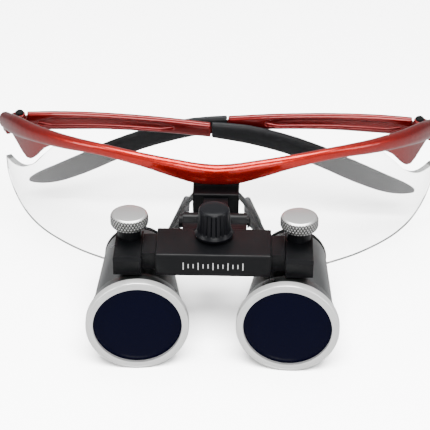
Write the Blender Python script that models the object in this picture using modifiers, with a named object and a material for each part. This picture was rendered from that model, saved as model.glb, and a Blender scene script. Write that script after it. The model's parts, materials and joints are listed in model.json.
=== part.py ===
"""Flip-down dental loupes on a sports safety frame, with folded temples.

Sizes below are in millimetres. X is the wearer's width, -Y is the front and +Z is up.
The glasses lean forward, standing on the two front rings and on the shield's lower edge.
"""

import math

import bmesh
import bpy
from mathutils import Matrix, Vector

MM = 0.001

# ---- clearances ----------------------------------------------------------------------
FIT = 0.3  # between two pieces that rest against each other
SEAT = 0.1  # radial, around a fixed pin, stud or screw
RUN = 0.08  # radial, around a turning pin

# ---- glasses frame, in its own leaning frame -------------------------------------------
LEAN = 10.0  # degrees that the top of the glasses leans forward
FRAME_Y = 43.3  # brow bar's middle, behind the ring faces
WRAP_R = 89.0  # brow bar's centre line, seen from above
HALF_WIDTH = 75.3
BROW_LINE = ((0, 0.2), (7, 0.5), (12, 1.5), (25, 3.3), (39, 2.9), (54, -0.9), (64, -4.7), (70, -7.6), (75.3, -10.6))
BROW_HEIGHT = ((0, 7.4), (7, 7.8), (12, 7.2), (25, 4.8), (39, 4.2), (54, 5.6), (64, 6.8), (70, 8.2), (75.3, 6.6))
BROW_DEPTH = ((0, 4.6), (25, 3.8), (39, 3.6), (54, 4.0), (64, 4.6), (75.3, 4.2))
CLIP_LOBE = ((53, -2.0), (60, -9.5), (66.5, -19.5), (71, -16.2), (74.5, -12.8))
LOBE_WALL = 2.0
SHIELD_WALL = 2.0
SHIELD_HALF_WIDTH = 80.0
SHIELD_TOP = ((0, -1.0), (25, 1.0), (40, 0.6), (54, -3.5), (62, -14.5), (67, -23.0), (73, -30.5), (80, -35.0))
SHIELD_BOTTOM = (
    (0, -15.5), (5, -16.5), (12, -26.0), (20, -39.0), (28, -47.0), (36, -49.3), (43, -49.9),
    (50, -50.6), (57, -51.2), (67, -52.0), (73, -51.0), (77, -48.0), (79.3, -44.0), (80, -41.5),
)

# ---- temples --------------------------------------------------------------------------
HINGE_X = 70.0
HINGE_INSET = 5.783  # inside the brow bar's centre line
HINGE_Z = -13.0
HINGE_KNUCKLE_R = 2.1
HINGE_KNUCKLE_HEIGHT = 2.6
HINGE_LUG_HEIGHT = 1.5
HINGE_SCREW_R = 0.8
HINGE_HEAD_R = 1.5
HINGE_HEAD_HEIGHT = 0.6
FOLD_LEFT = 0.0  # degrees off the folded line, so that the arms pass each other
FOLD_RIGHT = 3.3
ARM_START = 2.6
ARM_END = 67.0
ARM_LINE = ((0, -0.3), (15, 0.2), (31, 0.15), (50, -1.1), (67, -3.0))
ARM_HEIGHT = ((0, 7.6), (15, 7.7), (31, 6.9), (50, 6.4), (67, 6.0))
ARM_DEPTH = 3.2
CHANNEL_START = 6.0
CHANNEL_END = 54.0
CHANNEL_HEIGHT = 3.6
CHANNEL_DEPTH = 1.3
TONGUE_LENGTH = 9.0
TONGUE_HEIGHT = 3.0
TONGUE_DEPTH = 1.4
TIP_LENGTH = 72.5
TIP_BEND_LEFT = 1.8  # degrees that the soft tip is bent up or down
TIP_BEND_RIGHT = -1.8
TIP_LINE = ((0, -3.0), (13, -5.3), (27, -9.9), (38, -14.9), (49, -20.9), (56, -24.6), (63, -28.0), (72.5, -31.2))
TIP_HEIGHT = ((0, 6.6), (13, 8.1), (27, 8.7), (38, 9.1), (49, 10.0), (56, 9.7), (63, 8.4), (69, 5.6), (72.5, 1.8))
TIP_DEPTH = ((0, 3.2), (41, 3.0), (72.5, 1.6))

# ---- nose piece -----------------------------------------------------------------------
NOSE_LEG = ((0, -11.4), (5.0, -11.4), (7.6, -14.2), (12.2, -21.5), (16.2, -32.0))
NOSE_WALL = 1.4
NOSE_SPLAY = 0.12  # how fast the legs run back as they go out
NOSE_DEPTH = 2.4
NOSE_FRONT = 4.9  # behind the shield's back at the middle
PAD_LENGTH = 12.6
PAD_DEPTH = 8.0
PAD_WALL = 2.4
PAD_BACK = 5.0

# ---- mount clip and tilt hinge ----------------------------------------------------------
CLIP_WIDTH = 15.2
CLIP_TOP = -4.3
CLIP_BOTTOM = -13.2  # of the front half
CLIP_BACK_BOTTOM = -10.0
CLIP_FRONT = -5.0
CLIP_PLATE = 1.6
CLIP_SCREW_X = 4.6
CLIP_SCREW_Z = -7.3
CLIP_SCREW_R = 1.0
TILT_Y = 30.0  # tilt axis, in the standing frame
TILT_LIFT = 5.6  # of the tilt axis above the bridge's underside
TILT_KNUCKLE_R = 2.8
TILT_KNUCKLE_HALF = 4.0
TILT_WASHER = 0.4
TILT_PIN_R = 1.2
YOKE_HALF_WIDTH = 10.3
YOKE_PLATE = 1.8
YOKE_LIFT = 7.0  # of the yoke's top above the bridge's underside
YOKE_SCREW_X = 7.4
YOKE_SCREW_R = 0.9
YOKE_SCREW_LIFT = 2.3  # of the screws above the bridge's underside
YOKE_HEAD_R = 1.4

# ---- bridge -----------------------------------------------------------------------------
HOUSING_WIDTH = 36.2
HOUSING_FRONT = 6.0
HOUSING_DEPTH = 16.0
HOUSING_LIFT = 15.45  # of the bridge's underside above the barrels' axis
HOUSING_HEIGHT = 7.8
HOUSING_FRONT_WALL = 2.3
HOUSING_BACK_WALL = 1.7
HOUSING_TOP_WALL = 1.0
HOUSING_FLOOR = 0.7
BAR_SHOULDER = 2.0  # how far the bar's full height reaches into the housing
BAR_INNER_END = 5.5  # from the middle
BAR_TONGUE_DROP = 2.0  # below the bar's full height
PLATE_HALF_LENGTH = 13.5
END_GAP = 4.4  # between housing and end block
END_WIDTH = 8.8
END_DEPTH = 17.0
END_HEIGHT = 5.9
END_CHAMFER = 1.5

# ---- knobs ------------------------------------------------------------------------------
CENTRE_KNOB_Y = 17.6
CENTRE_KNOB_LIFT = 0.7  # of the skirt above the housing
CENTRE_SKIRT_R = 6.1
CENTRE_SKIRT_HEIGHT = 0.9
CENTRE_BASE_R = 5.4
CENTRE_TOP_R = 4.9
CENTRE_KNOB_HEIGHT = 9.7
CENTRE_STUD_R = 2.0
LOCK_KNOB_Y = 20.2
LOCK_KNOB_R = 5.9
LOCK_KNOB_HEIGHT = 4.2
LOCK_NECK_R = 3.2
LOCK_NECK_HEIGHT = 0.4
LOCK_STUD_R = 1.5
LOCK_COLLAR_R = 3.9
LOCK_COLLAR_HEIGHT = 3.4

# ---- barrels ----------------------------------------------------------------------------
BARREL_INSET = 3.3  # of the ring face's centre, from its lock knob towards the middle
TOE_IN = 3.4  # degrees, towards the middle ahead
NOSE_DOWN = 1.0  # degrees
RING_R = 16.35
RING_LENGTH = 3.0
RING_LIP_R = 14.0
LENS_R = 14.6
LENS_FRONT_R = 85.0
COLLAR_R = 14.9
COLLAR_LENGTH = 4.9
SPIGOT_R = 12.9
SEAL_HEIGHT = 0.6
BODY_FRONT_R = 14.3
BODY_END_R = 10.9
BODY_LENGTH = 31.2
BODY_BORE_R = 9.2
BODY_WALL = 1.6
OCULAR_THICK = 2.0
EYE_RING_LENGTH = 2.0
FOOT_HALF_WIDTH = 4.3
FOOT_FRONT = 12.6
FOOT_BACK = 26.4
FOOT_HEIGHT = 4.0

# ---- places that follow from the sizes above -----------------------------------------------
HINGE_Y = WRAP_R - math.sqrt((WRAP_R - HINGE_INSET) ** 2 - HINGE_X ** 2)
BARREL_X = HOUSING_WIDTH / 2 + END_GAP + END_WIDTH / 2 - BARREL_INSET
BARREL_Z = RING_R * math.cos(math.radians(NOSE_DOWN))
HOUSING_BOTTOM = BARREL_Z + HOUSING_LIFT
TILT_Z = HOUSING_BOTTOM + TILT_LIFT
BAR_TENON = END_WIDTH / 2 - LOCK_STUD_R - FIT  # inside the end block, short of the stud

SIDES = (("left", -1), ("right", 1))


def values_between(points, x):
    """A smooth line through (x, value) points, as a cubic with finite-difference slopes."""
    x = min(max(x, points[0][0]), points[-1][0])
    last = len(points) - 2
    i = next((k for k in range(last + 1) if x <= points[k + 1][0]), last)

    def slope(k):
        low, high = max(k - 1, 0), min(k + 1, len(points) - 1)
        return (points[high][1] - points[low][1]) / (points[high][0] - points[low][0])

    (x0, y0), (x1, y1) = points[i], points[i + 1]
    span = x1 - x0
    t = (x - x0) / span
    rise = (1 + 2 * t) * (1 - t) ** 2 * y0 + t * t * (3 - 2 * t) * y1
    return rise + span * (t * (1 - t) ** 2 * slope(i) - t * t * (1 - t) * slope(i + 1))


def clear_scene():
    for obj in list(bpy.data.objects):
        bpy.data.objects.remove(obj, do_unlink=True)


def new_collection(name):
    made = bpy.data.collections.new(name)
    bpy.context.scene.collection.children.link(made)
    return made


def finish(name, colour, metallic=0.0, roughness=0.5, transmission=0.0):
    made = bpy.data.materials.new(name)
    made.use_nodes = True
    shader = made.node_tree.nodes["Principled BSDF"]
    shader.inputs["Base Color"].default_value = (*colour, 1.0)
    shader.inputs["Metallic"].default_value = metallic
    shader.inputs["Roughness"].default_value = roughness
    shader.inputs["Transmission Weight"].default_value = transmission
    made.diffuse_color = (*colour, 1.0)
    return made


def empty(name, parent, location=(0, 0, 0), rotation=(0, 0, 0)):
    made = bpy.data.objects.new(name, None)
    PARTS.objects.link(made)
    put(made, parent, location, rotation)
    return made


def put(obj, parent, location=(0, 0, 0), rotation=(0, 0, 0)):
    obj.parent = parent
    obj.location = Vector(location) * MM
    obj.rotation_euler = [math.radians(turn) for turn in rotation]


def add(name, bm, surface, parent, location=(0, 0, 0), rotation=(0, 0, 0)):
    """An object from a bmesh in millimetres. With no surface it is a cutter or other helper."""
    bmesh.ops.scale(bm, vec=(MM, MM, MM), verts=bm.verts)
    mesh = bpy.data.meshes.new(name)
    bm.to_mesh(mesh)
    bm.free()
    made = bpy.data.objects.new(name, mesh)
    if surface is None:
        HELPERS.objects.link(made)
        made.hide_render = True
        made.display_type = "WIRE"
    else:
        PARTS.objects.link(made)
        mesh.materials.append(surface)
    mesh.shade_smooth()
    mesh.set_sharp_from_angle(angle=math.radians(35))
    put(made, parent, location, rotation)
    return made


def box(name, low, high, surface, parent, bevel=0.0, rotation=(0, 0, 0)):
    """A box between two corners given in the parent's frame."""
    low, high = Vector(low), Vector(high)
    bm = bmesh.new()
    bmesh.ops.create_cube(bm, size=1)
    bmesh.ops.scale(bm, vec=high - low, verts=bm.verts)
    made = add(name, bm, surface, parent, (low + high) / 2, rotation)
    if bevel:
        soften(made, bevel)
    return made


def soften(obj, width, segments=2):
    modifier = obj.modifiers.new("Bevel", "BEVEL")
    modifier.width = width * MM
    modifier.segments = segments
    modifier.limit_method = "ANGLE"
    modifier.angle_limit = math.radians(40)


def rod(name, radius, length, surface, parent, location=(0, 0, 0), rotation=(0, 0, 0), sides=24, end_radius=None):
    """A cylinder or cone along its own Z, centred on its location."""
    bm = bmesh.new()
    top = radius if end_radius is None else end_radius
    bmesh.ops.create_cone(bm, cap_ends=True, segments=sides, radius1=radius, radius2=top, depth=length)
    return add(name, bm, surface, parent, location, rotation)


def turned(name, profile, surface, parent, location=(0, 0, 0), rotation=(0, 0, 0), steps=40):
    """A profile of (radius, height) points turned about Z: down the outside, then back up the inside.

    A profile that starts and ends on the axis stays open there. Any other one is closed.
    """
    bm = bmesh.new()
    points = [bm.verts.new((radius, 0, height)) for radius, height in profile]
    for a, b in zip(points, points[1:]):
        bm.edges.new((a, b))
    if profile[0][0] > 0:
        bm.edges.new((points[-1], points[0]))
    made = add(name, bm, surface, parent, location, rotation)
    modifier = made.modifiers.new("Screw", "SCREW")
    modifier.steps = modifier.render_steps = steps
    modifier.use_merge_vertices = True
    modifier.merge_threshold = 0.00001
    modifier.use_smooth_shade = True
    return made


def loft(name, sections, surface, parent, location=(0, 0, 0), rotation=(0, 0, 0)):
    """A closed solid through rings of points, with flat ends."""
    bm = bmesh.new()
    rings = [[bm.verts.new(point) for point in ring] for ring in sections]
    for ring, following in zip(rings, rings[1:]):
        for k in range(len(ring)):
            after = (k + 1) % len(ring)
            bm.faces.new((ring[k], ring[after], following[after], following[k]))
    bm.faces.new(rings[0])
    bm.faces.new(list(reversed(rings[-1])))
    bmesh.ops.recalc_face_normals(bm, faces=bm.faces)
    return add(name, bm, surface, parent, location, rotation)


def oval(depth, height, count=12, squareness=2.6):
    """Points (across, up) of a rounded section."""
    power = 2 / squareness
    points = []
    for k in range(count):
        turn = 2 * math.pi * (k + 0.5) / count
        across, up = math.cos(turn), math.sin(turn)
        points.append((
            math.copysign(abs(across) ** power, across) * depth / 2,
            math.copysign(abs(up) ** power, up) * height / 2,
        ))
    return points


def cut(obj, *cutters):
    for cutter in cutters:
        modifier = obj.modifiers.new("Cut", "BOOLEAN")
        modifier.operation = "DIFFERENCE"
        modifier.object = cutter


def weld_on(obj, *pieces):
    for piece in pieces:
        modifier = obj.modifiers.new("Join", "BOOLEAN")
        modifier.operation = "UNION"
        modifier.object = piece


# ---- glasses ------------------------------------------------------------------------------


def on_wrap(radius, x, z):
    """A point of the upright cylinder of this radius that the front follows, straight ahead of x on the brow."""
    turn = math.asin(x / WRAP_R)
    return Vector((radius * math.sin(turn), WRAP_R - radius * math.cos(turn), z))


def wrapped_sheet(name, x_low, x_high, top, bottom, radius, wall, surface, parent, columns, rows):
    """A thin wall on the wrap cylinder between two edge lines, solid by its wall thickness."""
    bm = bmesh.new()
    bmesh.ops.create_grid(bm, x_segments=columns, y_segments=rows, size=0.5)
    for vert in bm.verts:
        x = x_low + (vert.co.x + 0.5) * (x_high - x_low)
        low, high = values_between(bottom, abs(x)), values_between(top, abs(x))
        vert.co = on_wrap(radius, x, low + (vert.co.y + 0.5) * (high - low))
    made = add(name, bm, surface, parent)
    modifier = made.modifiers.new("Wall", "SOLIDIFY")
    modifier.thickness = wall * MM
    modifier.offset = 0
    return made


def brow_section(x):
    turn = math.asin(x / WRAP_R)
    outward = Vector((math.sin(turn), -math.cos(turn), 0))
    middle = on_wrap(WRAP_R, x, values_between(BROW_LINE, abs(x)))
    ring = oval(values_between(BROW_DEPTH, abs(x)), values_between(BROW_HEIGHT, abs(x)))
    return [middle + outward * across + Vector((0, 0, up)) for across, up in ring]


def lobe_wall_radius():
    """The lens clips sit flush with the brow bar's back, just ahead of the shield."""
    return shield_radius() + SHIELD_WALL / 2 + FIT + LOBE_WALL / 2


def shield_radius():
    widest = max(depth for _, depth in BROW_DEPTH)
    return WRAP_R - widest / 2 - FIT - SHIELD_WALL / 2


def hinge_stack():
    """Heights (low, high) of the lower lug, the arm's knuckle and the upper lug."""
    half = HINGE_KNUCKLE_HEIGHT / 2
    lug_low, lug_high = half + FIT, half + FIT + HINGE_LUG_HEIGHT
    return (-lug_high, -lug_low), (-half, half), (lug_low, lug_high)


def build_brow_bar(glasses):
    count = 56
    xs = [HALF_WIDTH * math.sin(math.pi / 2 * (2 * k / count - 1)) for k in range(count + 1)]
    brow = loft("brow_bar", [brow_section(x) for x in xs], RED_PAINT, glasses)
    lower, _, upper = hinge_stack()
    for side, s in SIDES:
        low_x, high_x = sorted((s * CLIP_LOBE[0][0], s * CLIP_LOBE[-1][0]))
        lobe = wrapped_sheet(
            f"lobe_{side}", low_x, high_x, BROW_LINE, CLIP_LOBE, lobe_wall_radius(), LOBE_WALL, None, glasses, 12, 3
        )
        weld_on(brow, lobe)
        turn = math.degrees(math.atan2(HINGE_X, WRAP_R - HINGE_Y))
        reach = WRAP_R - math.hypot(HINGE_X, WRAP_R - HINGE_Y)
        for place, (low, high) in (("lower", lower), ("upper", upper)):
            middle = (s * HINGE_X, HINGE_Y, HINGE_Z + (low + high) / 2)
            pivot = empty(f"lug_{place}_{side}", glasses, middle, (0, 0, s * turn))
            eye = rod(f"lug_eye_{place}_{side}", HINGE_KNUCKLE_R, high - low, None, pivot)
            arm = box(
                f"lug_arm_{place}_{side}",
                (-HINGE_KNUCKLE_R + 0.4, -reach, (low - high) / 2 + 0.02),
                (HINGE_KNUCKLE_R - 0.4, 0, (high - low) / 2 - 0.02),
                None,
                pivot,
            )
            weld_on(brow, arm, eye)
        block_back = -HINGE_KNUCKLE_R - FIT - 0.1
        pivot = empty(f"hinge_block_place_{side}", glasses, (s * HINGE_X, HINGE_Y, HINGE_Z), (0, 0, s * turn))
        block = box(
            f"hinge_block_{side}",
            (-HINGE_KNUCKLE_R + 0.2, -reach - 0.6, lower[0]),
            (HINGE_KNUCKLE_R - 0.2, block_back, upper[1]),
            None,
            pivot,
        )
        weld_on(brow, block)
        bore = rod(
            f"hinge_bore_{side}", HINGE_SCREW_R + SEAT, 30, None, glasses, (s * HINGE_X, HINGE_Y, HINGE_Z), sides=16
        )
        cut(brow, bore)
    return brow


def build_shield(glasses):
    shield = wrapped_sheet(
        "shield_lens",
        -SHIELD_HALF_WIDTH,
        SHIELD_HALF_WIDTH,
        SHIELD_TOP,
        SHIELD_BOTTOM,
        shield_radius(),
        SHIELD_WALL,
        CLEAR_LENS,
        glasses,
        64,
        5,
    )
    for side, s in SIDES:
        hole = rod(
            f"shield_hole_{side}",
            CLIP_SCREW_R + FIT,
            12,
            None,
            glasses,
            (s * CLIP_SCREW_X, NOSE_FRONT, CLIP_SCREW_Z),
            (90, 0, 0),
            sides=16,
        )
        cut(shield, hole)
    return shield


def build_temple_screw(side, s, glasses):
    _, _, (_, top) = hinge_stack()
    lowest = -top + 0.2
    head = top + SEAT
    profile = (
        (0, head + HINGE_HEAD_HEIGHT),
        (HINGE_HEAD_R - 0.3, head + HINGE_HEAD_HEIGHT),
        (HINGE_HEAD_R, head + HINGE_HEAD_HEIGHT - 0.3),
        (HINGE_HEAD_R, head),
        (HINGE_SCREW_R, head),
        (HINGE_SCREW_R, lowest),
        (0, lowest),
    )
    return turned(
        f"temple_screw_{side}", profile, BLACK_METAL, glasses, (s * HINGE_X, HINGE_Y, HINGE_Z), steps=16
    )


def bar_rings(xs, line, heights, depths, s, y=0.0):
    """Upright sections of a long bar that runs along X from the hinge."""
    rings = []
    for x in xs:
        ring = oval(depths(x), heights(x))
        rings.append([Vector((s * x, y + across, line(x) + up)) for across, up in ring])
    return rings


def build_temple(side, s, glasses, fold, bend):
    """One arm with its soft tip, folded behind the brow. It swings on the empty at its hinge."""
    pivot = empty(f"temple_{side}_hinge", glasses, (s * HINGE_X, HINGE_Y, HINGE_Z), (0, 0, -s * fold))
    toward = -s  # a folded arm runs towards the other side

    def tip_line(x):
        return values_between(TIP_LINE, x) + x * math.tan(math.radians(bend))

    def line(x):
        return values_between(ARM_LINE, x)

    def height(x):
        return values_between(ARM_HEIGHT, x)

    xs = [ARM_START + (ARM_END - ARM_START) * k / 14 for k in range(15)]
    rings = bar_rings(xs, line, height, lambda x: ARM_DEPTH, toward)
    tongue_xs = (ARM_END, ARM_END + TONGUE_LENGTH / 2, ARM_END + TONGUE_LENGTH)
    rings += bar_rings(
        tongue_xs, lambda x: tip_line(x - ARM_END - FIT), lambda x: TONGUE_HEIGHT, lambda x: TONGUE_DEPTH, toward
    )
    arm = loft(f"temple_arm_{side}", rings, RED_PAINT, pivot)
    knuckle = rod(f"temple_eye_{side}", HINGE_KNUCKLE_R, HINGE_KNUCKLE_HEIGHT, None, pivot)
    neck_low, neck_high = sorted((0, toward * (ARM_START + 1.5)))
    neck = box(
        f"temple_neck_{side}",
        (neck_low, -ARM_DEPTH / 2 + 0.2, -HINGE_KNUCKLE_HEIGHT / 2 + 0.02),
        (neck_high, ARM_DEPTH / 2 - 0.2, HINGE_KNUCKLE_HEIGHT / 2 - 0.02),
        None,
        pivot,
    )
    weld_on(arm, neck, knuckle)
    channel_xs = [CHANNEL_START + (CHANNEL_END - CHANNEL_START) * k / 10 for k in range(11)]

    def channel_height(x):
        run = min(x - CHANNEL_START, CHANNEL_END - x) / (CHANNEL_END - CHANNEL_START)
        return CHANNEL_HEIGHT * min(1.0, 0.35 + 8 * run)

    channel = loft(
        f"temple_channel_{side}",
        bar_rings(channel_xs, line, channel_height, lambda x: 2 * CHANNEL_DEPTH, toward, -ARM_DEPTH / 2),
        None,
        pivot,
    )
    bore = rod(f"temple_bore_{side}", HINGE_SCREW_R + RUN, 12, None, pivot, sides=16)
    cut(arm, channel, bore)
    build_tip(side, toward, pivot, tip_line)
    return pivot


def build_tip(side, toward, pivot, tip_line):
    start = ARM_END + FIT
    xs = [TIP_LENGTH * math.sin(math.pi / 2 * k / 18) for k in range(19)]
    rings = bar_rings(
        xs, tip_line, lambda x: values_between(TIP_HEIGHT, x), lambda x: values_between(TIP_DEPTH, x), toward
    )
    tip = loft(f"temple_tip_{side}", rings, BLACK_RUBBER, pivot, (toward * start, 0, 0))
    socket_xs = (-1.0, TONGUE_LENGTH / 2, TONGUE_LENGTH + FIT)
    socket = loft(
        f"tip_socket_{side}",
        bar_rings(
            socket_xs,
            tip_line,
            lambda x: TONGUE_HEIGHT + 2 * FIT,
            lambda x: TONGUE_DEPTH + 2 * FIT,
            toward,
        ),
        None,
        pivot,
        (toward * start, 0, 0),
    )
    cut(tip, socket)
    return tip


def build_nose_piece(glasses):
    """A saddle strip behind the shield's nose cut-out, with a soft pad inside each leg."""
    leg = [(-x, z) for x, z in reversed(NOSE_LEG[1:])] + list(NOSE_LEG)
    sections = []
    for k, (x, z) in enumerate(leg):
        before, after = leg[max(k - 1, 0)], leg[min(k + 1, len(leg) - 1)]
        along = Vector((after[0] - before[0], 0, after[1] - before[1])).normalized()
        up = Vector((-along.z, 0, along.x))
        if up.z < 0:
            up = -up
        front = NOSE_FRONT + NOSE_SPLAY * abs(x)
        middle = Vector((x, front + NOSE_DEPTH / 2, z))
        sections.append([
            middle + up * (NOSE_WALL / 2) + Vector((0, -NOSE_DEPTH / 2, 0)),
            middle + up * (NOSE_WALL / 2) + Vector((0, NOSE_DEPTH / 2, 0)),
            middle - up * (NOSE_WALL / 2) + Vector((0, NOSE_DEPTH / 2, 0)),
            middle - up * (NOSE_WALL / 2) + Vector((0, -NOSE_DEPTH / 2, 0)),
        ])
    bridge = loft("nose_bridge", sections, BLACK_PLASTIC, glasses)
    soften(bridge, 0.4, 1)
    (x0, z0), (x1, z1) = NOSE_LEG[-2:]
    slope = math.degrees(math.atan2(z1 - z0, x1 - x0))
    offset = NOSE_WALL / 2 + FIT + PAD_WALL / 2
    for side, s in SIDES:
        middle = Vector(((x0 + x1) / 2, 0, (z0 + z1) / 2))
        inward = Vector((z1 - z0, 0, x0 - x1)).normalized()
        centre = middle + inward * offset
        y = NOSE_FRONT + NOSE_SPLAY * x1 + PAD_BACK
        frame = empty(f"pad_seat_{side}", glasses, (s * centre.x, y, centre.z), (0, -s * slope, 0))
        half = Vector((PAD_LENGTH / 2, PAD_DEPTH / 2, PAD_WALL / 2))
        pad = box(f"nose_pad_{side}", -half, half, CLEAR_RUBBER, frame)
        soften(pad, PAD_WALL * 0.4, 3)


# ---- mount clip and tilt hinge ---------------------------------------------------------------


def build_clip(glasses, tilt):
    back_of_clip = WRAP_R - shield_radius() - SHIELD_WALL / 2 - FIT
    clip = box(
        "mount_clip_front",
        (-CLIP_WIDTH / 2, CLIP_FRONT, CLIP_BOTTOM),
        (CLIP_WIDTH / 2, back_of_clip, CLIP_TOP),
        BLACK_METAL,
        glasses,
        bevel=0.5,
    )
    arm = box(
        "clip_arm",
        (-TILT_KNUCKLE_HALF + 0.05, 0.0, -TILT_KNUCKLE_R + 0.4),
        (TILT_KNUCKLE_HALF - 0.05, 11.0, TILT_KNUCKLE_R - 0.4),
        None,
        tilt,
    )
    arm.rotation_euler.x = math.radians(LEAN / 2)
    arm.location = Matrix.Rotation(math.radians(LEAN / 2), 3, "X") @ arm.location
    eye = rod("clip_eye", TILT_KNUCKLE_R, 2 * TILT_KNUCKLE_HALF, None, tilt, rotation=(0, 90, 0))
    weld_on(clip, arm, eye)
    cut(clip, rod("clip_eye_bore", TILT_PIN_R + RUN, 12, None, tilt, rotation=(0, 90, 0)))
    plate_front = WRAP_R - shield_radius() + SHIELD_WALL / 2 + 2 * FIT
    plate = box(
        "mount_clip_back",
        (-CLIP_WIDTH / 2, plate_front, CLIP_BACK_BOTTOM),
        (CLIP_WIDTH / 2, plate_front + CLIP_PLATE, CLIP_TOP),
        BLACK_METAL,
        glasses,
        bevel=0.4,
    )
    for side, s in SIDES:
        at = (s * CLIP_SCREW_X, 0, CLIP_SCREW_Z)
        depth = plate_front + CLIP_PLATE - CLIP_FRONT / 2
        hole = rod(
            f"clip_thread_{side}", CLIP_SCREW_R + SEAT, 2 * depth, None, glasses,
            (at[0], CLIP_FRONT / 2 + depth, at[2]), (90, 0, 0), sides=16,
        )
        cut(clip, hole)
        cut(plate, hole)
        head = plate_front + CLIP_PLATE + SEAT
        profile = (
            (0, head + 1.2),
            (1.5, head + 1.2),
            (1.9, head + 0.8),
            (1.9, head),
            (CLIP_SCREW_R, head),
            (CLIP_SCREW_R, CLIP_FRONT / 2 + 0.4),
            (0, CLIP_FRONT / 2 + 0.4),
        )
        turned(f"clip_screw_{side}", profile, STEEL, glasses, at, (-90, 0, 0), steps=16)
    return clip


def build_yoke(tilt):
    """The forked piece behind the housing that the clip's knuckle sits in."""
    ear_in = TILT_KNUCKLE_HALF + TILT_WASHER + 2 * SEAT
    plate_back = HOUSING_FRONT + HOUSING_DEPTH + FIT + YOKE_PLATE - TILT_Y
    plate_front = plate_back - YOKE_PLATE
    low, high = HOUSING_BOTTOM + 0.7 - TILT_Z, HOUSING_BOTTOM + YOKE_LIFT - TILT_Z
    screw_z = HOUSING_BOTTOM + YOKE_SCREW_LIFT - TILT_Z
    yoke = box("hinge_yoke", (-YOKE_HALF_WIDTH, plate_front, low), (YOKE_HALF_WIDTH, plate_back, high),
               BLACK_METAL, tilt, bevel=0.3)
    middle = (ear_in + YOKE_HALF_WIDTH) / 2
    for side, s in SIDES:
        arm_low, arm_high = sorted((s * (ear_in + 0.03), s * (YOKE_HALF_WIDTH - 0.03)))
        arm = box(f"yoke_arm_{side}", (arm_low, plate_back - 0.8, screw_z + YOKE_HEAD_R + FIT),
                  (arm_high, 0, high - 0.35), None, tilt)
        ear = rod(f"yoke_ear_{side}", TILT_KNUCKLE_R, YOKE_HALF_WIDTH - ear_in, None, tilt,
                  (s * middle, 0, 0), (0, 90, 0))
        weld_on(yoke, arm, ear)
    bore = rod("yoke_bore", TILT_PIN_R + SEAT, 30, None, tilt, rotation=(0, 90, 0))
    cut(yoke, bore)
    for side, s in SIDES:
        hole = rod(f"yoke_screw_hole_{side}", YOKE_SCREW_R + SEAT, 12, None, tilt,
                   (s * YOKE_SCREW_X, plate_front, screw_z), (90, 0, 0), sides=16)
        cut(yoke, hole)
        profile = (
            (0, 0.9),
            (YOKE_HEAD_R - 0.4, 0.9),
            (YOKE_HEAD_R, 0.5),
            (YOKE_HEAD_R, 0),
            (YOKE_SCREW_R, 0),
            (YOKE_SCREW_R, -YOKE_PLATE - FIT - HOUSING_BACK_WALL + 0.2),
            (0, -YOKE_PLATE - FIT - HOUSING_BACK_WALL + 0.2),
        )
        turned(f"yoke_screw_{side}", profile, STEEL, tilt, (s * YOKE_SCREW_X, plate_back + SEAT, screw_z),
               (-90, 0, 0), steps=16)
    return screw_z


def build_tilt_pin(tilt):
    end = YOKE_HALF_WIDTH + SEAT
    profile = (
        (0, end + 0.9),
        (1.6, end + 0.9),
        (2.0, end + 0.5),
        (2.0, end),
        (TILT_PIN_R, end),
        (TILT_PIN_R, -end - 0.8),
        (0, -end - 0.8),
    )
    turned("tilt_pin", profile, BLACK_METAL, tilt, rotation=(0, 90, 0), steps=20)
    nut = ((TILT_PIN_R + SEAT, -end), (2.2, -end), (2.2, -end - 1.2), (TILT_PIN_R + SEAT, -end - 1.2))
    turned("tilt_nut", nut, BLACK_METAL, tilt, rotation=(0, 90, 0), steps=6 * 3)
    for side, s in SIDES:
        at = s * (TILT_KNUCKLE_HALF + SEAT + TILT_WASHER / 2)
        half = TILT_WASHER / 2
        ring = ((TILT_PIN_R + RUN, half), (2.5, half), (2.5, -half), (TILT_PIN_R + RUN, -half))
        turned(f"tilt_washer_{side}", ring, BRASS, tilt, (at, 0, 0), (0, 90, 0), steps=20)


# ---- bridge -------------------------------------------------------------------------------------


def cavity():
    """Low and high (y, z) of the housing's through passage."""
    y = (HOUSING_FRONT + HOUSING_FRONT_WALL, HOUSING_FRONT + HOUSING_DEPTH - HOUSING_BACK_WALL)
    z = (HOUSING_BOTTOM + HOUSING_FLOOR, HOUSING_BOTTOM + HOUSING_HEIGHT - HOUSING_TOP_WALL)
    return y, z


def build_housing(module, screw_z):
    (y0, y1), (z0, z1) = cavity()
    half = HOUSING_WIDTH / 2
    top = HOUSING_BOTTOM + HOUSING_HEIGHT
    housing = box("bridge_housing", (-half, HOUSING_FRONT, HOUSING_BOTTOM),
                  (half, HOUSING_FRONT + HOUSING_DEPTH, top), BLACK_METAL, module, bevel=0.4)
    passage = box("housing_passage", (-half - 1, y0, z0), (half + 1, y1, z1), None, module)
    stud = rod("housing_stud_hole", CENTRE_STUD_R + SEAT, 4, None, module, (0, CENTRE_KNOB_Y, top), sides=20)
    cut(housing, passage, stud)
    back = HOUSING_FRONT + HOUSING_DEPTH
    for side, s in SIDES:
        hole = rod(f"housing_screw_hole_{side}", YOKE_SCREW_R + SEAT, 2 * HOUSING_BACK_WALL + 1, None, module,
                   (s * YOKE_SCREW_X, back, TILT_Z + screw_z), (90, 0, 0), sides=16)
        cut(housing, hole)
    plate_low = z1 - FIT - 1.2
    plate = box("pressure_plate", (-PLATE_HALF_LENGTH, y0 + FIT, plate_low),
                (PLATE_HALF_LENGTH, y1 - FIT, plate_low + 1.2), STEEL, module)
    return plate


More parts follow.
